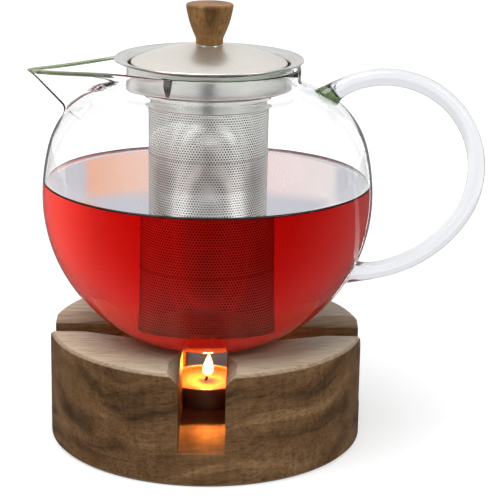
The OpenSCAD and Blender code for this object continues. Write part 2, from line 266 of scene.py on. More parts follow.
def lengths_along(line):
    """How far along an open line each of its points lies."""
    return np.concatenate([[0], np.cumsum(np.linalg.norm(np.diff(line, axis=0), axis=1))])


def respace(line, step):
    """The line with new points about one step apart along its length."""
    length = lengths_along(line)
    s = np.linspace(0, length[-1], max(2, int(round(length[-1] / step)) + 1))
    return np.stack([np.interp(s, length, line[:, k]) for k in range(line.shape[1])], -1)


def bend(corner_points, radius, count=7):
    """A line through corners, each rounded by an arc of one radius tangent to both sides."""
    points = [np.array(corner_points[0], float)[None]]
    for p, q, r in zip(corner_points[:-2], corner_points[1:-1], corner_points[2:]):
        p, q, r = (np.array(v, float) for v in (p, q, r))
        a, b = (p - q) / np.linalg.norm(p - q), (r - q) / np.linalg.norm(r - q)
        half = math.acos(np.clip(a @ b, -1, 1)) / 2
        reach = radius / math.tan(half)
        t = np.linspace(0, 1, count)[:, None]
        centre = q + (a + b) / np.linalg.norm(a + b) * radius / math.sin(half)
        chord = (q + a * reach) * (1 - t) + (q + b * reach) * t - centre
        points.append(centre + radius * chord / np.linalg.norm(chord, axis=1, keepdims=True))
    points.append(np.array(corner_points[-1], float)[None])
    return np.concatenate(points)


def ease(x, low, high):
    """Rises smoothly from 0 at low to 1 at high."""
    t = np.clip((x - low) / (high - low), 0, 1)
    return t * t * (3 - 2 * t)


def smooth_larger(a, b, reach):
    """The larger of two values, with a rounded hollow where they are within reach of each other."""
    near = np.maximum(reach - np.abs(a - b), 0) / reach
    return np.maximum(a, b) + near * near * reach * 0.25


def grid_normals(rows):
    """Unit normals of a closed-row grid, from its central differences."""
    along = np.gradient(rows, axis=0)
    round_ = np.roll(rows, -1, axis=1) - np.roll(rows, 1, axis=1)
    normal = np.cross(round_, along)
    return normal / np.linalg.norm(normal, axis=2, keepdims=True)


# ---------------------------------------------------------------- cutting and easing


def bake_modifiers(piece):
    """Works the piece's modifiers into its mesh, and gives that mesh."""
    graph = bpy.context.evaluated_depsgraph_get()
    mesh = bpy.data.meshes.new_from_object(piece.evaluated_get(graph))
    piece.modifiers.clear()
    piece.data = mesh
    mesh.name = piece.name
    return mesh


def punch(piece, cutters):
    """Takes each cutter's volume out of the piece, and throws the cutters away."""
    for cutter in cutters:
        modifier = piece.modifiers.new("cut", "BOOLEAN")
        modifier.operation = "DIFFERENCE"
        modifier.solver = "EXACT"
        modifier.object = cutter
    bake_modifiers(piece).set_sharp_from_angle(angle=math.radians(35))
    for cutter in cutters:
        bpy.data.objects.remove(cutter)


def rods_to_cut(low, high):
    """One cutter of closed rods, from K low outlines to K high ones, each array K x sides x 3."""
    count, sides = low.shape[:2]
    points = np.concatenate([low.reshape(-1, 3), high.reshape(-1, 3)])
    base = np.arange(count)[:, None] * sides
    j = np.arange(sides)
    k = (j + 1) % sides
    up = count * sides
    walls = np.stack([base + j, base + k, base + k + up, base + j + up], -1).reshape(-1, 4).tolist()
    lids = (base + j[::-1]).tolist() + (base + j + up).tolist()
    mesh = bpy.data.meshes.new("cutter")
    mesh.from_pydata((points * MM).tolist(), [], walls + lids)
    return placed("cutter", mesh)


def upright_rods(outlines, low, high):
    """A cutter of rods that stand on flat outlines, from a low to a high level."""
    outlines = np.stack(outlines)
    level = np.ones(outlines.shape[:2] + (1,))
    return rods_to_cut(*(np.concatenate([outlines, z * level], -1) for z in (low, high)))


def prism(outline, near, far, angle):
    """A cutter: an outline in (across, height) pushed along the radius at an angle round Z."""
    outline = np.asarray(outline, float)
    out = np.array([math.cos(angle), math.sin(angle), 0])
    across = np.array([-math.sin(angle), math.cos(angle), 0])
    flat = outline[:, :1] * across + outline[:, 1:] * np.array([0, 0, 1])
    return rods_to_cut((flat + near * out)[None], (flat + far * out)[None])


# ---------------------------------------------------------------- materials


def linear(hex_colour):
    """An sRGB hex colour as linear RGBA."""
    channels = [int(hex_colour[i : i + 2], 16) / 255 for i in (1, 3, 5)]
    return [c / 12.92 if c <= 0.04045 else ((c + 0.055) / 1.055) ** 2.4 for c in channels] + [1.0]


def add_node(tree, kind, values=None, stops=(), **settings):
    """One shader node with its settings, and its input values or the nodes and sockets that feed them.

    A node given as a value feeds its first output, and a hex colour is turned to linear. stops are a
    ramp's (position, hex colour) pairs.
    """
    node = tree.nodes.new("ShaderNode" + kind)
    for key, value in settings.items():
        setattr(node, key, value)
    while stops and len(node.color_ramp.elements) < len(stops):
        node.color_ramp.elements.new(0.5)
    for i, (position, colour) in enumerate(stops):
        node.color_ramp.elements[i].position = position
        node.color_ramp.elements[i].color = linear(colour)
    for key, value in (values or {}).items():
        if isinstance(value, bpy.types.Node):
            value = value.outputs[0]
        elif isinstance(value, str):
            value = linear(value)
        if isinstance(value, bpy.types.NodeSocket):
            tree.links.new(value, node.inputs[key])
        else:
            node.inputs[key].default_value = value
    return node


def new_material(name):
    """An empty material, and the function that adds nodes to it."""
    material = bpy.data.materials.new(name)
    material.use_nodes = True
    material.node_tree.nodes.clear()
    return material, partial(add_node, material.node_tree)


def pattern_place(add, size_mm, turn_deg=(0, 0, 0), shift_mm=(0, 0, 0)):
    """Object coordinates shifted, turned and divided by a pattern's size along each axis, in mm."""
    values = {
        "Vector": add("TexCoord").outputs["Object"],
        "Location": [v * MM for v in shift_mm],
        "Rotation": [math.radians(a) for a in turn_deg],
        "Scale": [v * MM for v in size_mm],
    }
    return add("Mapping", values, vector_type="TEXTURE")


def place_in(add, unit_mm=1000):
    """A point's X, Y and Z as multiples of a length in mm, which is one metre unless said otherwise."""
    return add("SeparateXYZ", {0: pattern_place(add, (unit_mm,) * 3)}).outputs


def lets_lamp_light_by(add, shader, hex_tint):
    """The shader, but lamp light meant for things behind it goes through with only a tint."""
    path = add("LightPath")
    clear = add("BsdfTransparent", {"Color": hex_tint})
    return add("MixShader", {0: path.outputs["Is Shadow Ray"], 1: shader, 2: clear})


def finish_clear_body(add, shader, lamp_tint, clear, density):
    """The output of a clear body: lamps light through its surface, and its depth soaks up colour."""
    absorb = add("VolumeAbsorption", {"Color": clear, "Density": density})
    add("OutputMaterial", {"Surface": lets_lamp_light_by(add, shader, lamp_tint), "Volume": absorb})


def borosilicate_glass(name, specular, clear="#C4E4C0", density=7.0):
    """Blown borosilicate: clear and smooth, with a faint green in its thickness."""
    material, add = new_material(name)
    # Hand-blown walls wander by a few hundredths of a millimetre over a few centimetres
    ripple = add("TexNoise", {"Vector": pattern_place(add, (36, 36, 90)), "Scale": 1.0, "Detail": 1.0})
    bump = add("Bump", {"Height": ripple, "Strength": 0.1, "Distance": 0.0006})
    shader = add("BsdfPrincipled", {
        "Base Color": "#FFFFFF", "Roughness": 0.0, "IOR": GLASS_IOR, "Transmission Weight": 1.0,
        "Specular Tint": specular, "Normal": bump,
    })
    finish_clear_body(add, shader, "#F4F8F5", clear, density)
    return material


def thick_glass(name, green, clear, clear_share, fade_mm):
    """Glass seen along its thickness, at the beak's fire-polished rim and the upper weld: grey-green. The
    green is the glass's own tint, and the grey tone on a part-opaque share is painted light, in place of
    light carried along the glass.

    Past the second of the two X values in fade_mm it is as clear as the wall.
    """
    material, add = new_material(name)
    across = place_in(add)["X"]
    far = add("MapRange", {"Value": across, "From Min": fade_mm[0] * MM, "From Max": fade_mm[1] * MM})
    share = add("MapRange", {"Value": far, "To Min": clear_share, "To Max": 1.0})
    shader = add("BsdfPrincipled", {
        "Base Color": add("ValToRGB", {0: far}, [(0.0, green), (1.0, clear)]), "Roughness": 0.06,
        "IOR": GLASS_IOR, "Transmission Weight": share,
    })
    add("OutputMaterial", {"Surface": lets_lamp_light_by(add, shader, "#E4ECDC")})
    return material


def red_tea():
    """Brewed red fruit tea: a clear liquid that soaks up green and blue as light goes through it."""
    material, add = new_material("red fruit tea")
    side = add("MapRange", {"Value": place_in(add, BODY_R)["X"], "From Min": -1.0, "From Max": 1.0})
    # Painted shade: the tea darkens from the spout's side to the handle's side, for light that falls from the
    # spout's side
    side_shade_stops = [(0.0, "#FFFFFF"), (0.25, "#F6F6F6"), (0.6, "#D2D2D2"), (1.0, "#CCCCCC")]
    # Painted light: an emission glow on the spout's side stands in for the window's light gathering in the
    # thin tea there
    painted_glow_stops = [(0.0, "#A4A4A4"), (0.08, "#8A8A8A"), (0.2, "#2C2C2C"), (0.3, "#000000")]
    strength, painted_glow = (add("ValToRGB", {0: side}, stops) for stops in (side_shade_stops, painted_glow_stops))
    shader = add("BsdfPrincipled", {
        "Base Color": strength, "Roughness": 0.0, "IOR": TEA_IOR, "Transmission Weight": 1.0,
        "Specular Tint": "#303030", "Emission Color": "#FF4A30", "Emission Strength": painted_glow,
    })
    finish_clear_body(add, shader, "#5A1810", TEA_CLEAR, TEA_DENSITY)
    return material


def tea_surface():
    """The tea's still top: a mirror to the studio seen at a low angle, and clear below it."""
    material, add = new_material("red fruit tea, still top")
    clear = add("BsdfPrincipled", {
        "Base Color": "#FFFFFF", "Roughness": 0.0, "IOR": TEA_IOR, "Transmission Weight": 1.0,
    })
    mirror = add("BsdfAnisotropic", {"Color": "#F6F4F6", "Roughness": 0.0})
    graze = add("Fresnel", {"IOR": 1.33})
    share = add("MapRange", {
        "Value": graze, "From Min": 0.02, "From Max": 0.19, "To Min": 0.02, "To Max": 0.9,
    })
    both = add("MixShader", {0: share, 1: clear, 2: mirror})
    finish_clear_body(add, both, "#E8C8C0", TEA_CLEAR, TEA_DENSITY)
    return material


def tea_edge():
    """The tea's edge where it clings to the glass. Seen end on it looks almost black; that dark is painted
    shade, an opaque near-black colour.
    """
    material, add = new_material("red fruit tea, seen edge on")
    shader = add("BsdfPrincipled", {"Base Color": "#1A0605", "Roughness": 0.25})
    add("OutputMaterial", {"Surface": shader})
    return material


def acacia(name, stops, grain_turn, shift, figure=(150, 34, 13), gloss=0.4, painted_top_share=0.0):
    """Oiled acacia: wavy bands of heartwood, fine pores and fibres drawn out along the grain.

    The top share is how far faces that look up are painted paler than the sides: painted light for the sheen
    and top light on them.
    """
    material, add = new_material(name)
    # Bands of colour are about 13 mm apart and 150 mm long, and sway over 60 mm
    sway_at = pattern_place(add, (75, 60, 42), grain_turn, shift)
    sway = add("TexNoise", {"Vector": sway_at, "Scale": 1.0, "Detail": 2.0, "Roughness": 0.4})
    centred = add("VectorMath", {0: sway.outputs["Color"], 1: (0.5, 0.5, 0.5)}, operation="SUBTRACT")
    push = add("VectorMath", {0: centred, 1: (0.9, 1.6, 3.4)}, operation="MULTIPLY")
    # Fibres are 1.1 mm apart and tens of millimetres long, and sway as the bands do
    straight = pattern_place(add, figure, grain_turn, shift), pattern_place(add, (34, 1.1, 1.1), grain_turn)
    bands_at, fibres_at = (add("VectorMath", {0: place, 1: push}, operation="ADD") for place in straight)
    bands = add("TexNoise", {
        "Vector": bands_at, "Scale": 1.0, "Detail": 5.0, "Roughness": 0.58, "Distortion": 0.5,
    })
    fibre = add("TexNoise", {"Vector": fibres_at, "Scale": 1.0, "Detail": 3.0, "Roughness": 0.6})
    # Pores are 0.3 mm wide and 5 mm long. Cross figure: soft ripples about 2 mm apart across the grain
    pores, curl = (
        add("TexNoise", {"Vector": pattern_place(add, size, grain_turn), "Scale": 1.0, "Detail": detail})
        for size, detail in (((5, 0.34, 0.34), 1.0), ((2.4, 16, 9), 2.0))
    )
    streak = add("ValToRGB", {0: fibre}, [(0.33, "#BEB4A8"), (0.5, "#F2EEE8"), (0.66, "#FFFFFF")])
    pit = add("ValToRGB", {0: pores}, [(0.30, "#A3978A"), (0.42, "#FFFFFF")])
    ripple = add("ValToRGB", {0: curl}, [(0.35, "#DAD2C8"), (0.6, "#FFFFFF")])
    colour = add("ValToRGB", {0: bands}, stops)
    shade = dict(data_type="RGBA", blend_type="MULTIPLY")
    for share, layer in ((0.85, streak), (0.7, pit), (0.6, ripple)):
        colour = add("Mix", {0: share, 6: colour, 7: layer}, **shade).outputs[2]
    painted_top_tone = add("Mix", {0: 0.9, 6: "#D6C6B0", 7: streak}, **shade).outputs[2]
    # Painted light: only faces that look up within a few millimetres of the block's top are painted paler,
    # for the sheen and top light on them
    facing = add("SeparateXYZ", {0: add("TexCoord").outputs["Normal"]})
    upward = add("MapRange", {
        "Value": facing.outputs["Z"], "From Min": 0.5, "From Max": 0.95, "To Max": painted_top_share,
    })
    topmost = add("MapRange", {
        "Value": place_in(add)["Z"], "From Min": (BLOCK_TOP - 6) * MM, "From Max": (BLOCK_TOP - 3) * MM,
        "To Max": upward,
    })
    with_painted_top = add("Mix", {0: topmost, 6: colour, 7: painted_top_tone}, data_type="RGBA").outputs[2]
    bump = add("Bump", {"Height": pores, "Strength": 0.2, "Distance": 0.00015})
    sheen = add("MapRange", {"Value": fibre, "To Min": gloss - 0.05, "To Max": gloss + 0.1})
    shader = add("BsdfPrincipled", {"Base Color": with_painted_top, "Roughness": sheen, "IOR": 1.3, "Normal": bump})
    add("OutputMaterial", {"Surface": shader})
    return material


def brushed_stainless(
    name, colour, roughness=0.3, streaks=0.5, lines_mm=(16, 16, 0.19), stretch=0.0, metal=1.0
):
    """Stainless steel brushed round its axis: soft stretched highlights and fine scratch lines."""
    material, add = new_material(name)
    # Scratches are a few hundredths of a millimetre apart; drawn 0.2 mm apart so that they show
    scratch = add("TexNoise", {"Vector": pattern_place(add, lines_mm), "Scale": 1.0, "Detail": 3.0})
    soft = add("MapRange", {"Value": scratch, "To Min": roughness - 0.07, "To Max": roughness + 0.1})
    tone = add("ValToRGB", {0: scratch}, [(0.25, "#C2C1BD"), (0.75, "#FFFFFF")])
    tinted = add("Mix", {0: streaks, 6: colour, 7: tone}, data_type="RGBA", blend_type="MULTIPLY")
    bump = add("Bump", {"Height": scratch, "Strength": 0.08, "Distance": 0.00005})
    shader = add("BsdfPrincipled", {
        "Base Color": tinted.outputs[2], "Metallic": metal, "Roughness": soft, "Anisotropic": stretch,
        "Tangent": add("Tangent", direction_type="RADIAL", axis="Z"), "Normal": bump,
    })
    add("OutputMaterial", {"Surface": shader})
    return material


def drawn_aluminium():
    """Thin drawn aluminium of a tealight cup: bright, with faint draw lines down its wall."""
    material, add = new_material("drawn aluminium")
    lines = add("TexNoise", {"Vector": pattern_place(add, (0.7, 0.7, 25)), "Scale": 1.0, "Detail": 2.0})
    soft = add("MapRange", {"Value": lines, "To Min": 0.3, "To Max": 0.5})
    bump = add("Bump", {"Height": lines, "Strength": 0.15, "Distance": 0.0001})
    shader = add("BsdfPrincipled", {
        "Base Color": "#D8D2CA", "Metallic": 1.0, "Roughness": soft, "Normal": bump,
    })
    add("OutputMaterial", {"Surface": shader})
    return material


def paraffin():
    """Paraffin wax lit from its own flame: it glows amber, brightest round the wick."""
    material, add = new_material("paraffin wax")
    # The height is divided away, so the length is the distance from the wick
    reach = add("VectorMath", {0: pattern_place(add, (1000, 1000, 1000000))}, operation="LENGTH")
    span = add("MapRange", {"Value": reach.outputs["Value"], "From Min": 0.0, "From Max": 0.018})
    ambers = [(0.0, "#FFE090"), (0.3, "#FFB840"), (0.7, "#F09428"), (1.0, "#C86414")]
    glow = add("ValToRGB", {0: span}, ambers)
    mottle = add("TexNoise", {"Vector": pattern_place(add, (3.3, 3.3, 3.3)), "Scale": 1.0, "Detail": 2.0})
    bump = add("Bump", {"Height": mottle, "Strength": 0.2, "Distance": 0.0003})
    shader = add("BsdfPrincipled", {
        "Base Color": "#BC6420", "Roughness": 0.35, "Emission Color": glow, "Emission Strength": 0.25,
        "Normal": bump,
    })
    add("OutputMaterial", {"Surface": shader})
    return material


def charred_cotton():
    """Burnt wick: braided cotton, black and matt."""
    material, add = new_material("charred cotton wick")
    # Braid strands are about 0.9 mm apart
    place = pattern_place(add, (3, 3, 3), (0, 35, 0))
    braid = add("TexWave", {"Vector": place, "Scale": 1.0, "Distortion": 1.0}).outputs["Fac"]
    tone = add("ValToRGB", {0: braid}, [(0.2, "#120C08"), (0.9, "#3A2A1C")])
    bump = add("Bump", {"Height": braid, "Strength": 0.6, "Distance": 0.0002})
    shader = add("BsdfPrincipled", {"Base Color": tone, "Roughness": 0.9, "Normal": bump})
    add("OutputMaterial", {"Surface": shader})
    return material


def candle_flame():
    """A candle flame: a white-yellow heart that thins to orange at its edge."""
    material, add = new_material("candle flame")
    facing = add("LayerWeight", {"Blend": 0.5}).outputs["Facing"]
    low, high = (WICK_HIGH[2] - 3) * MM, (WICK_HIGH[2] + 9) * MM
    rise = add("MapRange", {"Value": place_in(add)["Z"], "From Min": low, "From Max": high})
    yellows = [(0.0, "#FFB44A"), (0.3, "#FFF2C8"), (0.8, "#FFF0B8"), (1.0, "#FFC45A")]
    heart = add("ValToRGB", {0: rise}, yellows)
    rim = add("Mix", {0: facing, 6: heart, 7: "#FF9A2E"}, data_type="RGBA")
    light = add("Emission", {"Color": rim.outputs[2], "Strength": 3.2})
    thin = add("MapRange", {"Value": facing, "From Min": 0.45, "From Max": 0.95})
    surface = add("MixShader", {0: thin, 1: light, 2: add("BsdfTransparent")})
    add("OutputMaterial", {"Surface": surface})
    return material


# ---------------------------------------------------------------- the glass pot


def pot_profile():
    """The pot's outer profile from the axis under it to the top of its neck, as (radius, height)."""
    corner_r = 6.0
    corner_off = math.sqrt((LOWER_R - corner_r) ** 2 - (WIDEST_Z - FOOT_Z - corner_r) ** 2)
    corner_c = np.array([LOWER_OFF + corner_off, FOOT_Z + corner_r])
    corner_angle = math.atan2(corner_c[1] - WIDEST_Z, corner_c[0] - LOWER_OFF)
    line = np.concatenate([
        [[0, FOOT_Z + FOOT_HOLLOW], [8, FOOT_Z + 0.8], [16, FOOT_Z + 0.45], [23, FOOT_Z + 0.08]],
        arc(corner_c, corner_r, -math.pi / 2, corner_angle, 12),
        arc((LOWER_OFF, WIDEST_Z), LOWER_R, corner_angle, 0, 90)[1:],
        arc(FLANK_C, FLANK_R, 0, FLANK_ANGLE, 24)[1:],
        arc(SHOULDER_C, SHOULDER_R, FLANK_ANGLE, HOLLOW_ANGLE, 40)[1:],
        arc(HOLLOW_C, HOLLOW_R, HOLLOW_ANGLE + math.pi, math.pi, 14)[1:],
        [[NECK_R, RIM_Z - GLASS_T / 2]],
    ])
    return respace(line, 1.45)


def beak_radius(turned, height):
    """How far the beak reaches from the axis at an angle from -X and a height.

    In plan the beak is a wedge that touches the neck's circle: at a distance T and a half-angle w,
    its side is at T sin w / sin(w + angle). T grows with height, so the wedge's keel climbs from
    the flank to the lip. The angle is rounded off near zero, which rounds the keel and the tip.
    """
    keel_r, keel_z, lip_flare = 68.3, 160.0, 1.8
    reach = keel_r + (height - keel_z) + lip_flare * ease(height, 178, 184)
    reach = np.minimum(reach, SPOUT_REACH + 2.1)
    half = math.asin(NECK_R / (SPOUT_REACH + 1.0))
    # Angles in radians: how far round the keel is rounded, and the sides that the pinch draws in
    keel_round, tip_back, pinched = 0.032, 0.014, 0.55
    rounded = np.sqrt(turned**2 + keel_round**2) - tip_back
    pinch = 1 + 0.10 * np.sin(np.clip(turned / pinched, 0, 1) * np.pi)
    return reach * math.sin(half) / np.sin(np.minimum(half + rounded * pinch, np.pi / 2))


def pot_outside(columns):
    """The pot's outer surface: the profile turned round, with the beak blended in at -X.

    The columns crowd towards -X. The angle from -X is a mix of s and s |s|^1.6, with s from -1 to 1.
    """
    profile = pot_profile()[1:]
    s = np.linspace(-1, 1, columns, endpoint=False) + 1 / columns
    turned = np.pi * (0.22 * s + 0.78 * s * np.abs(s) ** 1.6)
    r, z = profile[:, 0, None], profile[:, 1, None] + 0 * turned
    away = np.abs(turned)
    # The lip dips towards the tip, and the rows below it are drawn down with it
    lip_dip, dip_angle, low_row = 3.3, 0.34, 160.0
    dip = lip_dip * np.exp(-((away / dip_angle) ** 1.6))
    z = np.where(z > low_row, low_row + (z - low_row) * (1 - dip / (RIM_Z - low_row)), z)
    # The beak starts at its root and fades out a quarter turn from the tip
    beak_root, fade = 150, 4 * ease(away, 1.0, 1.5)
    beak = np.where(z > beak_root, beak_radius(away, z) - fade, 0)
    # The hollow where beak and pot meet: narrow at the keel, twice as wide beside it, almost none far round
    hollow = 6.5 + 6.5 * ease(away, 0.05, 0.35) * (1 - ease(away, 0.5, 0.9)) - 6.0 * ease(away, 0.9, 1.4)
    radius = smooth_larger(r + 0 * turned, beak, hollow)
    return np.stack([-radius * np.cos(turned), -radius * np.sin(turned), z], -1)


def glass_pot(material, rim_material):
    """Outer surface, a round bead over the rim, and an inner surface one glass thickness inside."""
    columns = 300
    outer = pot_outside(columns)
    # The wall thins by 60% over its last 1.6 mm round the neck, and stays thick along the beak
    round_neck = ease(np.arctan2(np.abs(outer[..., 1]), -outer[..., 0]), 0.55, 0.9)
    thickness = GLASS_T * (1 - 0.6 * round_neck * ease(outer[..., 2], RIM_Z - 1.6, RIM_Z))
    inner = outer - thickness[..., None] * grid_normals(outer)
    inner[-1, :, 2] = outer[-1, :, 2]
    middle, half = (outer[-1] + inner[-1]) / 2, (outer[-1] - inner[-1]) / 2
    lift = np.linalg.norm(half, axis=1)[:, None] * np.array([0, 0, 1.0])
    over_rim = np.linspace(0, np.pi, 8)[1:-1]
    bead = np.stack([middle + half * math.cos(a) + lift * math.sin(a) for a in over_rim])
    rows = np.concatenate([outer, bead, inner[::-1]])
    foot = FOOT_Z + FOOT_HOLLOW
    shell = closed_rows(rows, (0, 0, foot), (0, 0, foot + GLASS_T))
    piece = make_piece("teapot_glass", *shell, material, "teapot")
    bead_start = columns * (len(outer) - 1)
    second_material(piece, rim_material, bead_start, bead_start + columns * (len(bead) + 2))
    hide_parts("glass_body")


def pot_gap(points):
    """Signed distance in mm from the pot's outer surface: the lower, the flank or the shoulder torus."""
    ring, z = np.hypot(points[..., 0], points[..., 1]), points[..., 2]
    low = np.hypot(ring - LOWER_OFF, z - WIDEST_Z) - LOWER_R
    flank = np.hypot(ring - FLANK_C[0], z - FLANK_C[1]) - FLANK_R
    high = np.hypot(ring - SHOULDER_C[0], z - SHOULDER_C[1]) - SHOULDER_R
    on_shoulder = z > SHOULDER_C[1] + (ring - SHOULDER_C[0]) * math.tan(FLANK_ANGLE)
    return np.where(z < WIDEST_Z, low, np.where(on_shoulder, high, flank))


def seat(ring, outward):
    """A rod's end ring slid along its direction until it is 0.7 mm under the pot's surface.

    Each of the 12 rounds closes 80% of the gap that is left.
    """
    sunk, share = 0.7, 0.8
    for _ in range(12):
        ring = ring + outward * (pot_gap(ring) + sunk)[:, None] * share
    return ring


def glass_handle(material, weld_material, columns=64):
    """A glass rod along two tangent arcs. Each end flares and is cut to the pot's surface."""
    rod_r = 4.15
    ring_r, under_r = 0.5625 * BODY_R, 0.775 * BODY_R
    ring_c = np.array([BODY_R + 5, WIDEST_Z + 0.18 * BODY_R])
    top, joint = math.radians(129), math.radians(-35)
    under_c = ring_c + (ring_r - under_r) * heading(joint)
    upper, lower = arc(ring_c, ring_r, top, joint, 120), arc(under_c, under_r, joint, -math.pi / 2, 60)
    path = respace(np.concatenate([upper, lower[1:]]), 1.3)
    centre = np.stack([path[:, 0], 0 * path[:, 0], path[:, 1]], -1)
    s = lengths_along(centre)
    from_end = np.minimum(s, s[-1] - s)
    # Each end swells by 42% where it meets the pot, and by another 10% round a point 5 mm along
    flare, swell = np.exp(-((from_end / 3.4) ** 2)), np.exp(-(((from_end - 5) / 4.0) ** 2))
    rows, ahead = rod(centre, (rod_r * (1 + 0.42 * flare + 0.10 * swell))[:, None], columns)
    # The slide that seats each end fades out over the next rows
    blend_rows, weld_rows = 6, 4
    for first, outward in ((0, -ahead[0]), (-1, ahead[-1])):
        moved = seat(rows[first], outward) - rows[first]
        for k in range(blend_rows):
            rows[k if first == 0 else -1 - k] += moved * (1 - k / blend_rows) ** 1.5
    piece = rod_piece("teapot_handle", rows, material, "teapot")
    second_material(piece, weld_material, 0, columns * weld_rows)
    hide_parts("glass_handle")


def tea_in_pot(material, top_material, painted_shade_edge):
    """The tea: a turned solid that laps 0.25 mm into the glass, with a rim drawn up the wall.

    The top rises by 1.6 exp(-d / 1.3) mm at a distance d from the wall. Its dark edge, painted shade, is a
    thin opaque ring.
    """
    columns, lap, creep = 256, 0.25, 1.6
    profile = pot_profile()
    inner = offset_line(profile, GLASS_T - lap)
    inner[0] = (0, profile[0, 1] + GLASS_T - lap)
    wet = inner[inner[:, 1] < TEA_Z + creep]
    wall_r = wet[-1, 0]
    r = np.concatenate([np.linspace(wall_r, wall_r - 8, 24)[1:], np.linspace(wall_r - 9, 0.0, 60)])
    surface = np.stack([r, TEA_Z + creep * np.exp(-(wall_r - r) / 1.3)], -1)
    piece = make_piece("red_tea", *turned_solid(np.concatenate([wet, surface]), columns), material, "teapot")
    second_material(piece, top_material, columns * (len(wet) - 1))
    # The edge ring is tallest at the front, where the wall leans towards the eye
    angle = round_angles(columns)
    height = 0.75 - 0.35 * np.sin(angle)
    up = np.array([0.0, 0.45, 1.0, 1.0, 0.5, 0.0])
    out = np.array([0.0, 0.05, 0.0, -0.30, -0.42, -0.30])
    z = TEA_Z + 0.9 + up[:, None] * height
    radius = np.interp(z, wet[-40:, 1], wet[-40:, 0]) + 0.05 + out[:, None]
    rows = np.stack([radius * np.cos(angle), radius * np.sin(angle), z], -1)
    make_piece("red_tea_edge", *closed_ring(rows), painted_shade_edge, "teapot")


# ---------------------------------------------------------------- the infuser


def infuser_collar(material):
    """Flange, neck and shoulder in one drawn sheet, with three T-shaped cuts round its neck."""
    foot, brim = (BAND_R, COLLAR_LOW[2] + 0.1), (FLANGE_R - 0.7, FLANGE_Z)
    line = bend([foot, (COLLAR_R, SHOULDER_Z), (COLLAR_R, FLANGE_Z - 1.6), brim], 1.4)
    bead = arc((FLANGE_R - 0.75, FLANGE_Z), 0.7, -0.9, math.pi * 0.75, 10)
    inner = offset_line(line, SHEET_T)[::-1]
    loop = np.concatenate([respace(line, 0.5), bead, respace(inner, 0.5)])
    piece = make_piece("infuser_neck", *turned_ring(loop, 300), material, "infuser")
    z0, z1, z2 = TONGUE_Z, SHOULDER_Z + 8.9, SHOULDER_Z + 8.9 + 1
    t_cut = [(-0.8, z0), (0.8, z0), (2.2, z1), (3.5, z1), (3.5, z2), (-3.5, z2), (-3.5, z1), (-2.2, z1)]
    punch(piece, [prism(t_cut, 34, 44, a) for a in TONGUE_ANGLES])
    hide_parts("infuser_collar")


def spring_tongues(material):
    """Three wedge-shaped tongues, rooted at the narrow end and sprung out to the glass.

    A tongue is a sheet over u (up) and v (across) that leans out by u, and its tip turns back a little.
    """
    height, lean = 7.9, 2.2
    uu, vv = np.meshgrid(np.linspace(0, 1, 16), np.linspace(-1, 1, 9), indexing="ij")
    across = vv * (1.0 + 0.85 * uu)
    out = COLLAR_R - 0.55 + lean * (uu - 0.25 * ease(uu, 0.75, 1.0))
    face = np.stack([out, across, TONGUE_Z - 0.5 + height * uu], -1)
    back = face - np.array([0.5, 0, -0.12])
    outline = np.concatenate([face, back[::-1]])
    count, wide = outline.shape[:2]
    i, j = np.meshgrid(np.arange(count), np.arange(wide - 1), indexing="ij")
    n = (i + 1) % count
    skin = np.stack([i * wide + j, n * wide + j, n * wide + j + 1, i * wide + j + 1], -1).reshape(-1, 4)
    m = np.arange(count // 2 - 1)
    left = np.stack([m * wide, (count - 1 - m) * wide, (count - 2 - m) * wide, (m + 1) * wide], -1)
    right = (left + wide - 1)[:, ::-1]
    points, faces = [], []
    for k, a in enumerate(TONGUE_ANGLES):
        spin = np.array([[math.cos(a), math.sin(a), 0], [-math.sin(a), math.cos(a), 0], [0, 0, 1]])
        points.append(outline.reshape(-1, 3) @ spin)
        faces += [f + k * count * wide for f in (skin, left, right)]
    piece = make_piece("infuser_tongues", np.concatenate(points), faces, material, "infuser", 40)


def infuser_band(material):
    """The plain band: a hemmed strip whose lower edge is rolled in over the sleeve."""
    low, high = BAND_LOW[2], BAND_HIGH[2]
    loop = np.concatenate([
        arc((SLEEVE_R + 0.7, low + 0.6), 0.6, -math.pi, -math.pi / 2, 5),
        arc((BAND_R - 0.6, low + 0.6), 0.6, -math.pi / 2, 0, 6),
        respace(np.array([[BAND_R, low + 0.9], [BAND_R, high - 0.4]]), 0.8),
        arc((BAND_R - 0.3, high - 0.3), 0.3, 0, math.pi / 2, 4),
        [[SLEEVE_R + 0.02, high], [SLEEVE_R + 0.02, low + 1.0]],
    ])
    piece = make_piece("infuser_hem", *turned_ring(loop, 256), material, "infuser", 40)
    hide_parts("infuser_band")


